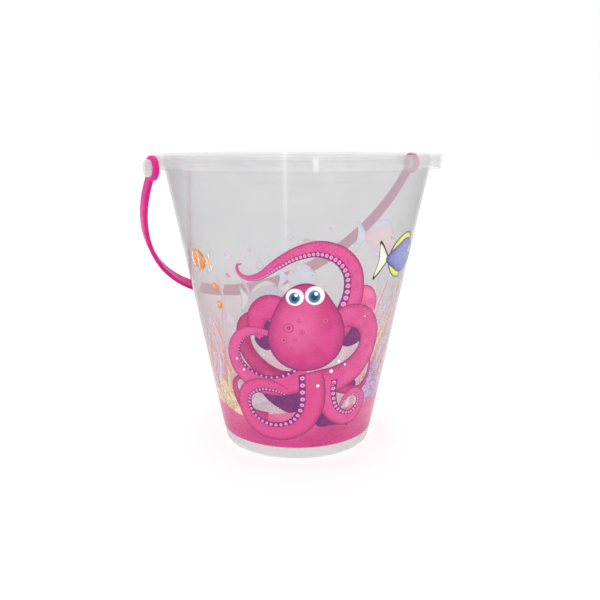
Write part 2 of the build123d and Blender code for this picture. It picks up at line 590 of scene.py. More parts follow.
@dataclass(frozen=True)
class ArmInk(Ink):
    """An octopus arm: a lit back, a dark outline, and an underside with a row of suckers."""

    outline: Tone = Tone(140, 24, 92)
    lit: Tone = Tone(228, 104, 160)
    under: Tone = Tone(122, 34, 110)
    sucker: Tone = Tone(226, 120, 176)
    sucker_middle: Tone = Tone(190, 70, 140)
    sucker_ring: Tone = Tone(244, 176, 212)
    under_share: float = 0.0  # how much of the width the underside takes
    pitch: float = 0.62  # from sucker to sucker, in half widths
    line_start: float = 0.94  # where the outline begins, in half widths

    def colour(self, g: Graph) -> Socket:
        """The arm's colour across and along it.

        Args:
            g: The graph.

        Returns:
            The colour.
        """
        across = g.printed()[0]
        side = g.math("ABSOLUTE", across)
        lit = g.step(g.math("ABSOLUTE", g.math("ADD", across, 0.25)), 0.95, 0.1)
        back = g.mix(g.times(lit, 0.2), self.clouds(g), self.lit)
        colour = g.mix(g.times(g.step(side, 0.55, 1.0), 0.5), back, self.outline)
        colour = g.mix(g.step(side, 0.93, 0.97), colour, self.outline)
        return self.underside(g, colour) if self.under_share > 0 else colour

    def underside(self, g: Graph, back: Colour) -> Socket:
        """Adds the underside and its suckers.

        Args:
            g: The graph.
            back: The colour of the rest.

        Returns:
            The colour.
        """
        across, along, _ = g.printed()
        start = 1 - 2 * self.under_share
        colour = g.mix(g.step(across, start - 0.05, start + 0.05), back, self.under)
        ahead = g.math("SUBTRACT", g.math("FRACT", g.math("DIVIDE", along, self.pitch)), 0.5)
        aside = g.math("SUBTRACT", across, (start + self.line_start) / 2)
        off = g.length(g.times(ahead, self.pitch), aside)
        size = min(self.pitch * 0.5, self.under_share * 0.9)
        ring = g.ramp(g.math("DIVIDE", off, size), (
            (0.0, self.sucker_middle), (0.3, self.sucker), (0.62, self.sucker_ring), (0.72, self.sucker),
            (0.85, self.under)))
        return g.mix(g.step(off, size, size * 0.85), colour, ring)


@dataclass(frozen=True)
class HeadInk(Ink):
    """The octopus's round head, or another rounded shape: brighter in the middle, with a dark outline."""

    outline: Tone = Tone(140, 28, 98)
    line: float = 0.03
    glow: Tone = Tone(234, 112, 166)
    glow_at: Point = (-0.2, 0.1)

    def colour(self, g: Graph) -> Socket:
        """The colour from the middle out.

        Args:
            g: The graph.

        Returns:
            The colour.
        """
        out = g.out()
        base = g.mix(g.step(g.out(self.glow_at), 0.9, 0.05, 0.0, 0.55), self.clouds(g), self.glow)
        base = g.mix(g.step(out, 0.7, 1.0, 0.0, 0.5), base, self.outline)
        return g.mix(g.step(out, 1 - self.line - 0.01, 1 - self.line), base, self.outline)


@dataclass(frozen=True)
class RingInk(Ink):
    """A round mark in rings, from its middle out: an eye, a bubble or a skin spot."""

    rings: Stops = ()
    middle: Point = (0.0, 0.0)
    hollow: float = 0.0  # how much of the middle stays clear

    def colour(self, g: Graph) -> Socket:
        """The rings, faintly mottled."""
        mottle = g.mix(g.step(g.noise(self.lump, 3.0), 0.3, 0.7), self.tone, self.second)
        return g.mix(0.12, g.ramp(g.out(self.middle), self.rings), mottle)

    def solid(self, g: Graph) -> Number:
        """How much the ink covers.

        Args:
            g: The graph.

        Returns:
            All of it, or less in a clear middle.
        """
        if self.hollow <= 0:
            return self.cover
        return g.step(g.out(self.middle), self.hollow - 0.2, self.hollow + 0.1, self.cover * 0.3,
                      self.cover)


@dataclass(frozen=True)
class SandInk(Ink):
    """The sea bed: pink sand in drifts, paler along its crest, with fine grains."""

    crest: Tone = Tone(220, 112, 154)
    grain: Tone = Tone(250, 176, 200)
    drift_size: float = 26.0
    grain_size: float = 0.7
    low: float = 0.012
    high: float = 0.042

    def colour(self, g: Graph) -> Socket:
        """The colour by height, drift and grain.

        Args:
            g: The graph.

        Returns:
            The colour.
        """
        drift = g.noise(self.drift_size, 4.0, 0.55, (1, 1, 2.4))
        base = g.mix(g.step(drift, 0.35, 0.65), self.tone, self.second)
        up = g.step(g.axes()[2], self.low, self.high)
        base = g.mix(g.times(up, g.step(drift, 0.25, 0.7, 0.35, 0.95)), base, self.crest)
        return g.mix(g.step(g.noise(self.grain_size, 2.0), 0.62, 0.7, 0.0, 0.14), base, self.grain)


@dataclass(frozen=True)
class WeedInk(Ink):
    """Pale water weed, printed thin: a soft strand with a lit edge."""

    lit: Tone = Tone(250, 236, 226)

    def colour(self, g: Graph) -> Socket:
        """The colour across the strand."""
        return g.mix(g.step(g.printed()[0], 0.0, 0.9, 0.0, 0.7), self.clouds(g, (1, 1, 0.3)), self.lit)

    def solid(self, g: Graph) -> Number:
        """Fuller in the middle than at the edges."""
        side = g.math("ABSOLUTE", g.printed()[0])
        return g.times(g.step(side, 1.0, 0.35, 0.4, 1.0), self.cover)


@dataclass(frozen=True)
class CoralInk(Ink):
    """Coral: knobbly branches with gaps between them."""

    knob: float = 4.0

    def colour(self, g: Graph) -> Socket:
        """Pale knobs with darker gaps.

        Args:
            g: The graph.

        Returns:
            The colour.
        """
        knobs = g.step(g.cells(self.knob), 0.15, 0.75)
        base = g.mix(knobs, self.tone, self.second)
        return g.mix(g.step(g.noise(1.6, 2.0), 0.5, 0.68, 0.0, 0.5), base, WHITE)

    def solid(self, g: Graph) -> Number:
        """How much the ink covers.

        Args:
            g: The graph.

        Returns:
            Much on the branches and little between them, with a fade to the shape's ragged edge.
        """
        lace = g.step(g.noise(self.knob * 0.8, 3.0), 0.36, 0.54, 0.3, 1.0)
        rim = g.step(g.math("ADD", g.out(), g.times(g.noise(5.0, 2.0), 0.6)), 1.3, 1.05)
        return g.times(g.times(lace, rim), self.cover)


@dataclass(frozen=True)
class BandedInk(Ink):
    """A fish's side: upright bands along its length, with thin dark edges."""

    band: Tone = WHITE
    dark: Tone = Tone(92, 50, 40)
    count: float = 2.0
    start: float = 0.35
    width: float = 0.3

    def colour(self, g: Graph) -> Socket:
        """The bands over the ground colour.

        Args:
            g: The graph.

        Returns:
            The colour.
        """
        right, up, _ = g.printed()
        base = g.mix(g.step(up, -0.8, 0.6), self.second, self.tone)
        count = g.math("MULTIPLY_ADD", right, self.count / 2, self.start)
        off = g.math("ABSOLUTE", g.math("SUBTRACT", g.math("FRACT", count), 0.5))
        half = self.width / 2
        base = g.mix(g.step(off, half + 0.09, half + 0.05), base, self.dark)
        return g.mix(g.step(off, half + 0.02, half - 0.02), base, self.band)


# ---------------------------------------------------------------- printed shapes on the wall


@dataclass(frozen=True)
class WallCone:
    """The tapered outside of the tub's wall, which the print is wrapped round. Sizes are in millimetres."""

    foot_radius: float = 58.3
    mouth_radius: float = 103.0
    height: float = 226.0
    front: float = math.radians(-124.1)  # the middle of the print's front

    @property
    def slope(self) -> float:
        """How much wider the wall gets for its height."""
        return (self.mouth_radius - self.foot_radius) / self.height

    def radius(self, height: float) -> float:
        """Outside radius of the wall at a height."""
        return self.foot_radius + self.slope * height

    def point(self, turn: float, across: float, height: float, lift: float) -> Vector:
        """A place on the wall, in metres.

        Args:
            turn: Where the drawing's own middle line stands, in degrees round from the front.
            across: How far along the wall from that line.
            height: How far up.
            lift: How far off the wall.

        Returns:
            The point.
        """
        radius = self.radius(height)
        angle = self.front + math.radians(turn) + across / radius
        return Vector((math.cos(angle) * (radius + lift), math.sin(angle) * (radius + lift), height)) * MM


def smooth_line(points: Sequence[Vector], closed: bool, step: float) -> list[Vector]:
    """A smooth line through some points.

    Args:
        points: The points, each with its half width as a third number.
        closed: Whether the line comes back to its start.
        step: About how far apart the results are.

    Returns:
        Points along the line.
    """
    count = len(points)
    line = []
    for i in range(count if closed else count - 1):
        if closed:
            a, b, c, d = (points[(i + k) % count] for k in (-1, 0, 1, 2))
        else:
            a, b, c, d = (points[min(max(i + k, 0), count - 1)] for k in (-1, 0, 1, 2))
        pieces = max(2, math.ceil((c - b).length / step))
        for k in range(pieces):
            t = k / pieces
            bend = (2 * a - 5 * b + 4 * c - d) * t**2 + (3 * b - a - 3 * c + d) * t**3
            line.append(0.5 * (2 * b + (c - a) * t + bend))
    if not closed:
        line.append(points[-1].copy())
    return line


@dataclass
class Motif:
    """One printed picture element: a few shapes in one ink, as thin closed sheets that follow the wall.

    A sheet stands off the film by its layer. Its back lies just inside the film, with the same order of
    layers, so the print reads the right way round from inside the tub too. Sizes are in millimetres.
    """

    name: str
    wall: WallCone
    ink: Ink
    layer: Enum
    turn: float = 0.0
    cell: float = 2.4
    film: float = 0.2
    clear: float = 0.02  # from the film to the first layer
    step: float = 0.014  # from each layer to the next
    blank: float = 0.1  # the flat grid's thickness, before it is wrapped
    merge: float = 0.002
    finest: float = 0.06  # the least half width of a ribbon
    most_across: int = 8
    most_in_patch: int = 36
    bm: bmesh.types.BMesh = field(init=False)

    def __post_init__(self) -> None:
        """Starts an empty mesh that carries each point's place in its shape."""
        self.bm = bmesh.new()
        self.bm.verts.layers.float_vector.new(PRINT)

    def sheet(self, columns: int, rows: int, place: Callable[[float, float], Spot]) -> None:
        """Adds one sheet: a grid given its thickness, then shaped and wrapped.

        Args:
            columns: How many cells it has one way.
            rows: How many cells it has the other way.
            place: Takes a grid point, from -1 to 1 each way, to its spot on the wall.
        """
        part = bmesh.new()
        mark = part.verts.layers.float_vector.new(PRINT)
        bmesh.ops.create_grid(part, x_segments=columns, y_segments=rows, size=1.0)
        bmesh.ops.solidify(part, geom=part.faces[:], thickness=self.blank)
        middle = sum(v.co.z for v in part.verts) / len(part.verts)
        lift = self.clear + self.step * self.layer.value
        for vert in part.verts:
            outer = vert.co.z > middle
            across, up, first, second = place(vert.co.x, vert.co.y)
            vert[mark] = Vector((first, second, 0.0 if outer else 1.0))
            vert.co = self.wall.point(self.turn, across, up, lift if outer else -self.film - lift)
        bmesh.ops.remove_doubles(part, verts=part.verts[:], dist=self.merge * MM)
        bmesh.ops.recalc_face_normals(part, faces=part.faces[:])
        scratch = bpy.data.meshes.new("sheet")
        part.to_mesh(scratch)
        part.free()
        self.bm.from_mesh(scratch)
        bpy.data.meshes.remove(scratch)

    def stroke(self, stations: Sequence[Station], flip: bool = False) -> "Motif":
        """Adds a ribbon along a smooth line.

        Args:
            stations: Places across and up, each with the ribbon's half width there.
            flip: Puts the underside on the other side.

        Returns:
            The motif.
        """
        line = smooth_line([Vector(s) for s in stations], False, self.cell)
        widths = [max(p.z, self.finest) for p in line]
        flat = [Vector((p.x, p.y)) for p in line]
        last = len(line) - 1
        run = [0.0]  # how far along it is, in half widths
        for i in range(last):
            width = max(0.5 * (widths[i] + widths[i + 1]), 0.4)
            run.append(run[-1] + (flat[i + 1] - flat[i]).length / width)
        side = -1.0 if flip else 1.0

        def place(x: float, y: float) -> Spot:
            """Takes a grid point to the ribbon.

            Args:
                x: The point's place along the grid.
                y: Its place across it.

            Returns:
                Its spot.
            """
            i = round((x + 1) / 2 * last)
            way = (flat[min(i + 1, last)] - flat[max(i - 1, 0)]).normalized()
            spot = flat[i] + Vector((-way.y, way.x)) * (y * widths[i])
            return spot.x, spot.y, y * side, run[i]

        self.sheet(last, max(2, min(self.most_across, math.ceil(2 * max(widths) / self.cell))), place)
        return self

    def patch(self, outline: Sequence[Point]) -> "Motif":
        """Adds a filled shape whose outline is a smooth line seen whole from its middle.

        Args:
            outline: Points round it.

        Returns:
            The motif.
        """
        edge = smooth_line([Vector((x, y, 0.0)) for x, y in outline], True, self.cell / 2)
        middle = sum(edge, Vector()) / len(edge)
        spokes = [p - middle for p in edge]
        polar = sorted((math.atan2(p.y, p.x), math.hypot(p.x, p.y)) for p in spokes)
        turns = [p[0] for p in polar]

        def reach(angle: float) -> float:
            """How far the outline is from the middle.

            Args:
                angle: In which direction.

            Returns:
                The distance.
            """
            k = bisect_right(turns, angle)
            (a, p), (b, q) = polar[k - 1], polar[k % len(polar)]
            gap = (b - a) % math.tau
            return p + (q - p) * ((angle - a) % math.tau) / gap if gap > TINY else p

        def place(x: float, y: float) -> Spot:
            """Takes a grid point to the shape.

            Args:
                x: The point's place along the grid.
                y: Its place across it.

            Returns:
                Its spot.
            """
            right, up = x * math.sqrt(1 - y * y / 2), y * math.sqrt(1 - x * x / 2)
            out = math.hypot(right, up)
            far = out * reach(math.atan2(up, right))
            share = far / out if out > TINY else 0.0
            return middle.x + right * share, middle.y + up * share, right, up

        size = max(6, min(self.most_in_patch, math.ceil(2 * max(p[1] for p in polar) / self.cell)))
        self.sheet(size, size, place)
        return self

    def disc(self, across: float, up: float, radius: float, tall: float = 1.0) -> "Motif":
        """Adds a round or oval dot.

        Args:
            across: Where its middle is across the wall.
            up: Where its middle is up the wall.
            radius: Half its width.
            tall: Its height over its width.

        Returns:
            The motif.
        """
        turns = [math.radians(30 * k) for k in range(12)]
        return self.patch([(across + radius * math.cos(a),
                            up + tall * radius * math.sin(a)) for a in turns])

    def lay(self) -> bpy.types.Object:
        """Makes the finished piece, which rides on the tub.

        Returns:
            The piece.
        """
        mesh = bpy.data.meshes.new(self.name)
        self.bm.to_mesh(mesh)
        self.bm.free()
        for polygon in mesh.polygons:
            polygon.use_smooth = True
        mesh.set_sharp_from_angle(angle=SHARP)
        mesh.materials.append(self.ink.material())
        piece = bpy.data.objects.new(self.name, mesh)
        bpy.context.scene.collection.objects.link(piece)
        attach(piece, "tub")
        log.info("%s: %d faces", self.name, len(mesh.polygons))
        return piece


class Layer(Enum):
    """The order in which the sea's inks lie, from the film out."""

    WEED = 1
    CORAL = 2
    SAND = 3
    MARK = 4


class FishLayer(Enum):
    """The order of a fish's inks."""

    TAIL = 5
    FINS = 6
    SIDE = 7
    EYE = 8


class OctopusLayer(Enum):
    """The order of the octopus's inks. It is printed away from the fish and the corals."""

    WEB = 4
    ARM_BACK_LEFT = 5
    ARM_THIN_LEFT = 6
    ARM_THIN_RIGHT = 7
    ARM_LEFT_LOBE = 8
    ARM_RIGHT_LOBE = 9
    ARM_RAISED = 10
    ARM_LEFT_LOOP = 11
    ARM_RIGHT_SIDE = 12
    ARM_RIGHT_LOWER = 13
    ARM_CENTRE = 14
    HEAD = 15
    SPOTS = 16
    EYES = 17
    IRISES = 18
    GLINTS = 19


# ---------------------------------------------------------------- the pictures

PINK = Tone(210, 60, 132)
ROSE = Tone(218, 78, 144)
HOT = Tone(202, 46, 120)
CRIMSON = Tone(166, 26, 98)
PLUM = Tone(122, 34, 110)


@dataclass(frozen=True)
class Octopus:
    """A plain round-headed octopus with curling arms, on the wall's front. Sizes are in millimetres."""

    wall: WallCone

    def motif(self, layer: OctopusLayer, ink: Ink, cell: float = 2.4) -> Motif:
        """Starts the picture element of a layer."""
        return Motif("octopus_" + layer.name.lower(), self.wall, ink, layer, cell=cell)

    def arm(
        self, layer: OctopusLayer, stations: Sequence[Station], under: float = 0.0, flip: bool = False,
        tones: tuple[Tone, Tone] = (PINK, ROSE)
    ) -> None:
        """Prints one arm.

        Args:
            layer: Which one, which is also where it lies in the order of inks.
            stations: Places across and up, each with the half width there.
            under: The share of its width that its underside takes.
            flip: Puts the underside on the other side.
            tones: Its two tones.
        """
        ink = ArmInk(layer.name.lower(), *tones, under_share=under)
        self.motif(layer, ink).stroke(stations, flip).lay()

    def arms(self) -> None:
        """Prints the arms, back ones first."""
        dark = (CRIMSON, Tone(186, 42, 110))
        self.arm(OctopusLayer.ARM_BACK_LEFT, [
            (-30, 118, 3), (-38, 111, 5), (-40.5, 101, 6), (-38, 89, 6.4), (-29, 78, 6.4), (-14, 69, 6.5),
            (4, 68, 6)
        ], tones=dark)
        self.arm(OctopusLayer.ARM_THIN_LEFT, [
            (-22, 34, 5), (-34, 36, 4.6), (-44, 42, 4.2), (-50, 51, 3.4), (-50.5, 60, 2.4),
            (-45, 65, 1.5), (-40, 62, 0.7)
        ], tones=dark)
        self.arm(OctopusLayer.ARM_THIN_RIGHT, [
            (26, 62, 5), (38, 56, 4), (50, 54, 3), (58, 61, 2), (61, 71, 1.4), (60, 80, 0.6)
        ], tones=dark)
        self.arm(OctopusLayer.ARM_RAISED, [
            (18, 94, 8), (30, 106, 9), (37, 119, 9), (41, 132, 8.4), (40, 147, 7.8), (31, 159, 6.8),
            (16, 165, 5.8), (0, 162, 4.8), (-14, 154, 3.8), (-25, 146, 2.8), (-35, 143.5, 1.9),
            (-42, 147, 1.3), (-43, 152.5, 0.9), (-39, 153.5, 0.5)
        ], under=0.34)
        self.arm(OctopusLayer.ARM_LEFT_LOBE, [
            (0, 104, 9), (-8, 117, 9.6), (-18, 123, 9.6), (-27, 118, 8.4), (-29.5, 108, 6.4),
            (-25, 100, 3.6)
        ], tones=(HOT, PINK))
        self.arm(OctopusLayer.ARM_RIGHT_LOBE, [
            (32, 112, 8), (42, 124, 8.6), (51, 129, 8), (57, 124, 6), (58, 116, 4)
        ], tones=(ROSE, Tone(236, 112, 162)))
        self.arm(OctopusLayer.ARM_LEFT_LOOP, [
            (-6, 98, 1.6), (-22, 103.5, 2.4), (-34, 104, 3.6), (-44, 98, 4.8), (-49.5, 87, 5.6),
            (-47, 76, 6.4), (-37, 67, 7.2), (-22, 62, 8), (-6, 64, 9), (8, 72, 9)
        ], under=0.16)
        self.arm(OctopusLayer.ARM_RIGHT_SIDE, [
            (12, 100, 6), (24, 110, 7.4), (38, 115, 8.6), (51, 111, 9.4), (58, 99, 9.4), (55, 85, 9.4),
            (45, 74, 9.8), (31, 67, 10.4), (16, 64, 10.6), (2, 62, 9)
        ], flip=True)
        self.arm(OctopusLayer.ARM_RIGHT_LOWER, [
            (22, 66, 8.4), (22, 54, 7.6), (25, 42, 7), (33, 33.5, 6.4), (44, 32, 5.8), (52, 39, 5),
            (52.5, 48, 4), (45, 53, 3.2), (37, 49, 2), (33, 42, 1)
        ], under=0.3)
        self.arm(OctopusLayer.ARM_CENTRE, [
            (10, 72, 9), (11, 58, 10), (10, 44, 9.6), (3, 31, 8.6), (-9, 24.5, 7.8), (-23, 24.5, 7.2),
            (-35, 31, 6.6), (-41.5, 43, 6.2), (-39, 55, 5.8), (-28, 61.5, 5.4), (-16, 61, 4.4),
            (-8, 57, 3)
        ], under=0.26, flip=True, tones=(Tone(212, 58, 126), PINK))

    def undersides(self) -> None:
        """Prints the dark webs that show between the arms."""
        web = self.motif(OctopusLayer.WEB, Ink("web", PLUM, Tone(96, 28, 104), 6.0))
        web.patch([(-30, 64), (-14, 70), (4, 66), (6, 48), (-4, 40), (-14, 44), (-24, 52)])
        web.patch([(14, 50), (24, 40), (36, 30), (42, 24), (30, 27), (14, 29)])
        web.patch([(28, 70), (40, 68), (47, 60), (44, 54), (36, 56), (30, 60)])
        web.patch([(36, 110), (50, 106), (52, 98), (44, 92), (34, 92), (30, 100)])
        web.patch([(-24, 112), (-14, 110), (-12, 98), (-22, 90), (-31, 98)])
        web.lay()

    def head(self) -> None:
        """Prints the head."""
        head = self.motif(OctopusLayer.HEAD, HeadInk("head", PINK, HOT, 14.0))
        head.patch([
            (6, 141), (17, 137), (25, 127), (32, 115), (35, 101), (31, 87), (21, 78), (8, 74.5), (-6, 77),
            (-16, 85), (-21, 98), (-19, 112), (-13, 126), (-5, 137)
        ]).lay()

    def spots(self) -> None:
        """Prints the rings and spots on its skin."""
        rings = stops((0.0, 186, 32, 104), (0.5, 204, 50, 118), (0.66, 242, 140, 180), (0.78, 164, 26, 94),
                      (1.0, 198, 50, 120))
        spots = self.motif(OctopusLayer.SPOTS, RingInk("spot", PINK, ROSE, rings=rings), 0.7)
        for across, up, radius in (
            (-6, 108, 3.6), (-9.5, 98.5, 2.4), (-1.5, 99, 1.6), (-14.5, 102.5, 1.7), (-4, 91.5, 1.9),
            (3.5, 104.5, 2.0), (20, 113, 2.4), (50, 118, 1.9), (54, 112, 1.3), (51, 106, 1.2),
            (33, 73, 2.2), (24, 69, 1.8), (17, 66, 2.0), (39, 78, 1.6), (-11, 92, 1.3), (1.5, 113, 1.5),
            (26.5, 62, 1.5), (12, 55, 1.7), (47, 121, 1.4), (55, 97, 1.8), (56, 88, 1.3), (49, 80, 1.7)
        ):
            spots.disc(across, up, radius)
        spots.lay()

    def eyes(self) -> None:
        """Prints its eyes, with glints on them and on its wet skin."""
        ball = RingInk("eye_white", WHITE, Tone(236, 240, 246), 3.0, inside_white=0.0, rings=stops(
            (0.0, 250, 250, 252), (0.9, 252, 252, 253), (0.97, 232, 190, 214)))
        iris = RingInk("iris", Tone(24, 84, 140), Tone(58, 148, 200), inside_white=0.1, rings=stops(
            (0.0, 24, 26, 38), (0.5, 22, 24, 36), (0.6, 24, 84, 140), (0.8, 58, 148, 200),
            (0.95, 20, 60, 110)))
        eyes = self.motif(OctopusLayer.EYES, ball, 0.8)
        irises = self.motif(OctopusLayer.IRISES, iris, 0.6)
        glints = self.motif(OctopusLayer.GLINTS, Ink("glint", WHITE, Tone(255, 255, 255), inside_white=0.0),
                            0.5)
        for across, up, radius in ((-1.5, 131, 6.3), (12.3, 132, 7.0)):
            eyes.disc(across, up, radius)
            irises.disc(across - 0.4, up - 0.7, radius * 0.6, 1.08)
            glints.disc(across + 0.8, up + 1.4, radius * 0.2)
        for across, up, radius in (
            (-47, 80, 0.8), (-41, 72, 0.9), (25, 73, 1.4), (31, 80, 1.1), (15, 62, 1.2), (36, 77, 0.8),
            (52, 113, 0.6)
        ):
            glints.disc(across, up, radius)
        for motif in (eyes, irises, glints):
            motif.lay()

    def build(self) -> None:
        """Prints the whole octopus."""
        for part in (self.undersides, self.arms, self.head, self.spots, self.eyes):
            part()


@dataclass(frozen=True)
class SeaBed:
    """The sand round the foot of the print. Sizes are in millimetres."""

    wall: WallCone
    bottom: float = 9.9
    crest: float = 38.0
    cells: tuple[int, int] = (220, 10)
    seam_turn: float = 124.1  # where the film's seam stands, in degrees round from the front
    seam: float = 0.6
    waves: tuple[Station, ...] = ((4.5, 2, 0.6), (2.2, 5, 1.4), (1.0, 11, 0.0))  # heights, counts and starts

    def build(self) -> None:
        """Prints the sand as one strip from seam to seam."""
        ink = SandInk("sand", Tone(192, 38, 114), Tone(202, 58, 128), 20.0)
        bed = Motif("sea_bed", self.wall, ink, Layer.SAND)
        gap = math.degrees(self.seam / self.wall.radius(20))
        start, end = self.seam_turn - 360 + gap, self.seam_turn - gap

        def place(x: float, y: float) -> Spot:
            """Takes a grid point to the strip.

            Args:
                x: The point's place along the grid.
                y: Its place across it.

            Returns:
                Its spot.
            """
            turn = math.radians(start + (end - start) * (x + 1) / 2)
            top = self.crest + sum(a * math.sin(b * turn + c) for a, b, c in self.waves)
            up = self.bottom + (top - self.bottom) * (y + 1) / 2
            return turn * self.wall.radius(up), up, y, turn

        bed.sheet(*self.cells, place)
        bed.lay()


@dataclass(frozen=True)
class WaterWeed:
    """Thin strands of pale weed that rise from the sand. Sizes are in millimetres."""

    wall: WallCone
    root: float = 34.0
    foot_width: float = 4.0  # half a strand's width at its foot, and how much of it is gone at its tip
    taper: float = 2.9

    def build(self) -> None:
        """Prints three groups of strands, each in its own ink, all round."""
        inks = (WeedInk("weed_rose", Tone(218, 150, 168), Tone(210, 164, 186), cover=0.8),
                WeedInk("weed_straw", Tone(216, 168, 118), Tone(222, 150, 110), cover=0.85),
                WeedInk("weed_lilac", Tone(188, 162, 204), Tone(204, 174, 206), cover=0.75))
        tall = (
            (-66, 118), (-58, 96), (-51, 84), (-45, 108), (44, 120), (50, 104), (53, 138), (58, 126),
            (64, 132), (84, 92), (98, 124), (112, 88), (140, 112), (158, 90), (176, 126), (-168, 100),
            (-150, 118), (-132, 86), (-116, 122), (-98, 98), (-82, 110)
        )
        for index, (name, ink) in enumerate(zip(("rose", "straw", "lilac"), inks)):
            weed = Motif("water_weed_" + name, self.wall, ink, Layer.WEED)
            for k, (turn, top) in enumerate(tall):
                lean = math.sin(7.3 * k + 2.1 * index)
                weed.turn = turn + 5.5 * index - 5 + 2 * lean
                high = top * (1.0, 0.82, 0.66)[(k + index) % 3]
                sway = 4.5 + 1.5 * lean
                weed.stroke([(sway * math.sin(7.2 * t + k + index) * (0.3 + t),
                              self.root + (high - self.root) * t,
                              self.foot_width - self.taper * t * t) for t in (0, 0.2, 0.4, 0.6, 0.8, 1.0)])
            weed.lay()


@dataclass(frozen=True)
class CoralGarden:
    """Low corals that stand on the sand. Sizes are in millimetres."""

    wall: WallCone

    def clump(self, base: float, wide: float, tall: float, turn: float) -> list[Point]:
        """Draws one rounded, lumpy clump.

        Args:
            base: The height of its foot.
            wide: Half its width.
            tall: Its height.
            turn: Where it stands, which also sets how its lumps fall.

        Returns:
            Points round it.
        """
        outline = []
        for k in range(18):
            angle = math.radians(20 * k)
            bump = 1 + 0.13 * math.sin(5 * angle + turn) + 0.08 * math.sin(8 * angle + wide)
            up = bump * math.sin(angle) * tall
            outline.append((wide * bump * math.cos(angle),
                            base + 0.42 * tall + (0.58 if up > 0 else 0.42) * up))
        return outline

    def build(self) -> None:
        """Prints the two kinds of coral."""
        kinds = (
            ("coral_straw", Tone(244, 232, 176), Tone(234, 196, 156), 27, (
                (-52, 15, 32), (-66, 12, 22), (-40, 9, 16), (54, 8, 14), (102, 13, 28), (168, 14, 26),
                (-140, 12, 24), (-104, 10, 18))),
            ("coral_lilac", Tone(214, 176, 220), Tone(176, 128, 190), 30, (
                (50, 10, 46), (60, 9, 34), (88, 12, 38), (136, 12, 34), (-166, 11, 36), (-120, 10, 32),
                (-86, 11, 28))))
        for name, tone, second, base, clumps in kinds:
            coral = Motif(name, self.wall, CoralInk(name, tone, second, cover=0.8), Layer.CORAL)
            for coral.turn, wide, tall in clumps:
                coral.patch(self.clump(base, wide, tall, coral.turn))
            coral.lay()


@dataclass(frozen=True)
class Fish:
    """One plain fish, drawn from its middle. Sizes are in millimetres."""

    wall: WallCone
    name: str
    turn: float
    up: float
    long: float
    deep: float
    heading: int  # -1 swims to the left, 1 to the right
    body: Ink
    trim: Ink
    tail: Ink
    eye_at: Point = (0.34, 0.1)
    eye_size: float = 0.045

    def at(self, forward: float, over: float) -> Point:
        """A place on the fish, in shares of its length and depth from its middle."""
        return self.heading * forward * self.long, self.up + over * self.deep

    def motif(self, layer: FishLayer, ink: Ink, cell: float = 1.2) -> Motif:
        """Starts the picture element of a layer."""
        return Motif(f"{self.name}_{layer.name.lower()}", self.wall, ink, layer, self.turn, cell)

    def build(self) -> None:
        """Prints the tail and fins, then the side, then the eye."""
        shapes = {
            FishLayer.TAIL: (self.tail, (
                (-0.34, 0.0), (-0.42, 0.2), (-0.56, 0.46), (-0.6, 0.44), (-0.55, 0.0), (-0.6, -0.44),
                (-0.56, -0.46), (-0.42, -0.2))),
            FishLayer.FINS: (self.trim, (
                (-0.32, 0.1), (-0.26, 0.34), (-0.06, 0.56), (0.16, 0.6), (0.3, 0.42), (0.1, 0.3), (-0.12, 0.2)
            ), (
                (-0.32, -0.1), (-0.24, -0.34), (-0.08, -0.52), (0.08, -0.54), (0.06, -0.34), (-0.12, -0.2))),
            FishLayer.SIDE: (self.body, (
                (-0.38, 0.06), (-0.22, 0.24), (0.04, 0.44), (0.28, 0.4), (0.46, 0.14), (0.5, 0.0),
                (0.45, -0.14), (0.26, -0.38), (0.02, -0.42), (-0.22, -0.24), (-0.38, -0.06)))}
        for layer, (ink, *outlines) in shapes.items():
            motif = self.motif(layer, ink)
            for outline in outlines:
                motif.patch([self.at(*p) for p in outline])
            motif.lay()
        rings = stops((0.0, 20, 20, 28), (0.5, 24, 24, 32), (0.6, 250, 250, 250), (0.9, 230, 226, 226))
        ink = RingInk(self.name + "_eye", WHITE, WHITE, rings=rings, inside_white=0.1)
        self.motif(FishLayer.EYE, ink, 0.6).disc(*self.at(*self.eye_at), self.eye_size * self.long).lay()


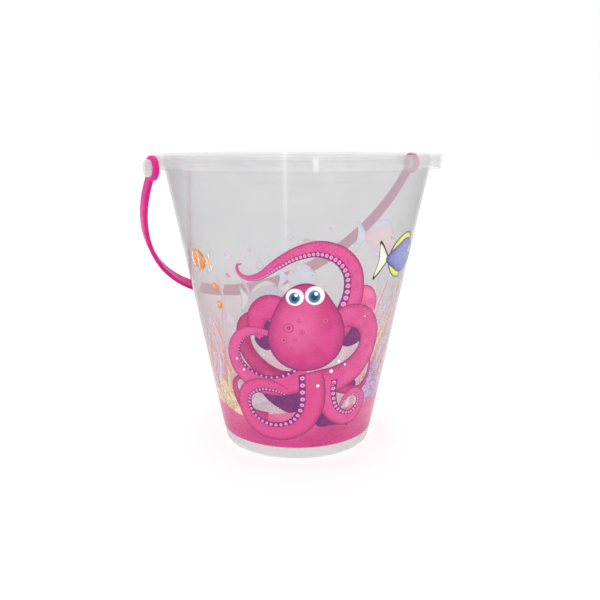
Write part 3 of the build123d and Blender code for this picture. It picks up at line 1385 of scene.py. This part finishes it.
@dataclass(frozen=True)
class Shoal:
    """All the fish round the wall."""

    wall: WallCone

    def build(self) -> None:
        """Prints the banded fish and the reef fish."""
        orange = BandedInk("banded", Tone(240, 150, 50), Tone(226, 118, 40), band=Tone(246, 236, 230),
                           count=2.2, width=0.26)
        fin = WeedInk("banded_fin", Tone(238, 160, 70), Tone(220, 120, 50), cover=0.95,
                      lit=Tone(90, 50, 40))
        tail = BandedInk("banded_tail", Tone(240, 156, 70), Tone(240, 170, 90), band=WHITE,
                         dark=Tone(40, 30, 34), count=3.0, width=0.3)
        for name, turn, up, long, heading in (("banded_fish_front", -53.2, 152, 26, -1),
                                              ("banded_fish_back", 172, 140, 26, 1),
                                              ("banded_fish_side", -104, 147, 21, 1)):
            Fish(self.wall, name, turn, up, long, long * 0.54, heading, orange, fin, tail).build()
        blue = HeadInk("reef_side", Tone(104, 106, 176), Tone(124, 120, 190), 5.0,
                       outline=Tone(54, 54, 110), line=0.05, glow=Tone(150, 150, 210))
        yellow = HeadInk("reef_fin", Tone(206, 216, 50), Tone(226, 226, 80), 5.0, outline=Tone(40, 44, 60),
                         line=0.12, glow=Tone(236, 238, 120))
        clear = HeadInk("reef_tail", Tone(236, 238, 236), Tone(226, 232, 190), 5.0,
                        outline=Tone(28, 26, 32), line=0.16, glow=WHITE)
        for name, turn, up, long, heading in (("reef_fish_right", 58, 154, 50, 1),
                                              ("reef_fish_left", -157, 98, 40, -1)):
            Fish(self.wall, name, turn, up, long, long * 0.58, heading, blue, yellow, clear).build()
        peach = HeadInk("peach_side", Tone(238, 160, 172), Tone(244, 184, 178), 5.0,
                        outline=Tone(214, 120, 150), line=0.05, glow=Tone(250, 206, 196))
        sky = HeadInk("peach_fin", Tone(116, 178, 226), Tone(150, 200, 236), 5.0,
                      outline=Tone(84, 140, 200), line=0.1, glow=Tone(190, 222, 244),
                      inside_white=0.6)
        pale = HeadInk("pale_side", Tone(150, 192, 230), Tone(178, 208, 236), 5.0,
                       outline=Tone(120, 160, 210), line=0.05, glow=Tone(214, 230, 244))
        Fish(self.wall, "pale_fish_back", 178, 114, 34, 19, -1, pale, peach, sky).build()
        for name, turn, up, long, heading in (("peach_fish_far", 126, 153, 46, -1),
                                              ("peach_fish_back", -97, 128, 36, -1)):
            Fish(self.wall, name, turn, up, long, long * 0.6, heading, peach, sky, sky).build()


@dataclass(frozen=True)
class Bubbles:
    """Beads and rings that drift up the water. Sizes are in millimetres."""

    wall: WallCone
    shine: Point = (-0.2, 0.25)  # where the light sits on a bead

    def build(self) -> None:
        """Prints the amber beads, a few pink ones and the faint rings."""
        amber = RingInk("bead_amber", Tone(240, 160, 40), Tone(240, 170, 60), middle=self.shine, rings=stops(
            (0.0, 252, 206, 96), (0.45, 240, 160, 40), (0.9, 214, 120, 30)))
        pink = RingInk("bead_pink", ROSE, ROSE, cover=0.85, rings=stops(
            (0.0, 244, 176, 208), (0.6, 232, 132, 180), (0.95, 216, 110, 164)))
        faint = RingInk("ring_lilac", Tone(210, 196, 226), WHITE, cover=0.5, hollow=0.75, rings=stops(
            (0.0, 226, 214, 236), (0.7, 216, 196, 226), (0.9, 200, 176, 214)))
        kinds = (
            ("beads_amber", amber, 0.8, 1.25, (
                (-44, 133.9, 2.6), (-42.7, 120.5, 2.5), (92, 128, 2.6), (96, 142, 1.8), (-170, 118, 2.4),
                (-126, 112, 2.2))),
            ("beads_pink", pink, 0.8, 1.0, (
                (-33.8, 144, 1.6), (104, 150, 1.8), (160, 158, 1.6), (-150, 140, 1.7))),
            ("rings_lilac", faint, 0.9, 1.0, (
                (-32, 158, 3), (-37, 110, 4.5), (-46, 146, 2.2), (-56, 104, 3), (-60, 90, 3.4),
                (50, 112, 3.2), (56, 118, 2.2), (80, 130, 3.5), (120, 120, 3), (150, 132, 4),
                (-176, 150, 3), (-156, 126, 4), (-100, 140, 3), (-90, 120, 2.4))))
        for name, ink, cell, tall, places in kinds:
            motif = Motif(name, self.wall, ink, Layer.MARK, cell=cell)
            for motif.turn, up, size in places:
                motif.disc(0, up, size, tall)
            motif.lay()


# ---------------------------------------------------------------- sub-assemblies


@dataclass(frozen=True)
class Tub:
    """The clear moulding, with its rim, lugs and pins."""

    plastic: ClearPlastic

    def dress(self, nodes: dict[str, bpy.types.Object]) -> None:
        """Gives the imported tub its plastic.

        Args:
            nodes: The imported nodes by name.
        """
        put_on(nodes["tub"], self.plastic.material(), solid=False)


@dataclass(frozen=True)
class PrintedFilm:
    """The film and everything that is printed on it."""

    wall: WallCone
    plastic: ClearPlastic

    def dress(self, nodes: dict[str, bpy.types.Object]) -> None:
        """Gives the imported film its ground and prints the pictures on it.

        Args:
            nodes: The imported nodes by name.
        """
        put_on(nodes["printed_film"], self.plastic.film(), solid=False)
        for picture in (SeaBed, WaterWeed, CoralGarden, Bubbles, Shoal, Octopus):
            picture(self.wall).build()


@dataclass(frozen=True)
class Handle:
    """The carry handle."""

    plastic: ColouredPlastic = ColouredPlastic()

    def dress(self, nodes: dict[str, bpy.types.Object]) -> None:
        """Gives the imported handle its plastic.

        Args:
            nodes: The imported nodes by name.
        """
        put_on(nodes["handle"], self.plastic.material())


def put_on(node: bpy.types.Object, material: bpy.types.Material, solid: bool = True) -> None:
    """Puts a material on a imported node, in place of its plain one.

    Args:
        node: The node.
        material: Its new material.
        solid: Whether it stops light. Clear plastic passes on what it scatters.
    """
    node.data.materials.clear()
    node.data.materials.append(material)
    node.visible_shadow = solid
    log.info("%s: dressed in %s", node.name, material.name)


# ---------------------------------------------------------------- studio


@dataclass(frozen=True)
class Lamp:
    """One soft box: its bearing in degrees, its other sizes in metres and its power in watts."""

    name: str
    bearing: float
    reach: float
    height: float
    wide: float
    tall: float
    power: float

    def hang(self, place: Vector, aim: Vector) -> None:
        """Hangs the lamp.

        Args:
            place: Where it is.
            aim: What it points at.
        """
        data = bpy.data.lights.new(self.name, "AREA")
        data.shape = "RECTANGLE"
        data.size, data.size_y, data.energy = self.wide, self.tall, self.power
        lamp = bpy.data.objects.new(self.name, data)
        lamp.location = place
        lamp.rotation_euler = (aim - place).to_track_quat("-Z", "Y").to_euler()
        bpy.context.scene.collection.objects.link(lamp)


@dataclass(frozen=True)
class Studio:
    """A pale floor, soft light and the camera. Sizes are in metres."""

    distance: float = 0.56856
    over_rim: float = 0.00925
    bearing: float = math.radians(34.1)
    tilt: float = 0.2158
    aside: float = 0.0041
    lens: float = 43.4
    sensor: float = 36.0
    near: float = 0.01
    floor_size: float = 6.0
    floor_tones: tuple[Tone, Tone] = (Tone(169, 169, 169), Tone(171, 171, 171))
    floor_glow: float = 0.6
    floor_shine: Shine = Shine(0.8, 0.9, 20.0, 40.0, 0.02, 0.1)
    white: tuple[float, float, float, float] = (1.0, 1.0, 1.0, 1.0)
    aim: float = 0.11
    lamps: tuple[Lamp, ...] = (
        Lamp("top_box", 0, 0, 1.3, 1.4, 1.4, 4.0),
        Lamp("key_box", -38, 1.1, 0.8, 0.6, 0.6, 0.6),
        Lamp("strip_box", 13, 0.9, 0.42, 0.07, 0.5, 0.4),
    )

    def floor(self) -> None:
        """Lays the floor."""
        g = Graph("studio_floor")
        skin = g.skin(g.mix(g.step(g.noise(60.0, 3.0), 0.3, 0.7), *self.floor_tones), self.floor_shine)
        skin.inputs["Emission Color"].default_value = self.white
        skin.inputs["Emission Strength"].default_value = self.floor_glow
        bm = bmesh.new()
        bmesh.ops.create_grid(bm, x_segments=8, y_segments=8, size=self.floor_size)
        mesh = bpy.data.meshes.new("studio_floor")
        bm.to_mesh(mesh)
        bm.free()
        mesh.materials.append(g.close(skin.outputs[0]))
        floor = bpy.data.objects.new("studio_floor", mesh)
        bpy.context.scene.collection.objects.link(floor)

    def around(self, bearing: float, reach: float, height: float) -> Vector:
        """A place round the bucket.

        Args:
            bearing: Degrees to the right of the camera.
            reach: How far out it is.
            height: How far up.

        Returns:
            The place.
        """
        angle = -math.pi / 2 - self.bearing + math.radians(bearing)
        return Vector((math.cos(angle) * reach, math.sin(angle) * reach, height))

    def light(self) -> None:
        """Sets the pale surroundings and the soft boxes."""
        world = bpy.data.worlds.new("studio")
        world.use_nodes = True
        ground = world.node_tree.nodes["Background"]
        ground.inputs["Color"].default_value = self.white
        ground.inputs["Strength"].default_value = 1.0
        bpy.context.scene.world = world
        for lamp in self.lamps:
            place = self.around(lamp.bearing, lamp.reach, lamp.height)
            lamp.hang(place, Vector((0.0, 0.0, self.aim)))

    def camera(self, top: float) -> None:
        """Places the camera.

        Args:
            top: The height of the rim.
        """
        data = bpy.data.cameras.new("camera")
        data.lens, data.sensor_width, data.clip_start = self.lens, self.sensor, self.near
        camera = bpy.data.objects.new("camera", data)
        camera.location = self.around(0.0, self.distance, top + self.over_rim)
        camera.rotation_euler = (math.pi / 2 - self.tilt, 0.0, -self.bearing - self.aside)
        bpy.context.scene.collection.objects.link(camera)
        bpy.context.scene.camera = camera


def main() -> None:
    """Builds the bucket in its studio."""
    logging.basicConfig(level=logging.INFO, format="%(message)s")
    for stray in list(bpy.data.objects):
        bpy.data.objects.remove(stray)
    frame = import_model()
    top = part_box("tub")[1].z
    wall = WallCone(height=top / MM)
    studio = Studio()
    studio.camera(top)
    studio.light()
    studio.floor()
    plastic = ClearPlastic(wall)
    Tub(plastic).dress(frame["nodes"])
    PrintedFilm(wall, plastic).dress(frame["nodes"])
    Handle().dress(frame["nodes"])
    scene = bpy.context.scene
    scene.view_settings.view_transform = "Standard"
    scene.cycles.transparent_max_bounces = CLEAR_BOUNCES


if __name__ == "__main__":
    main()
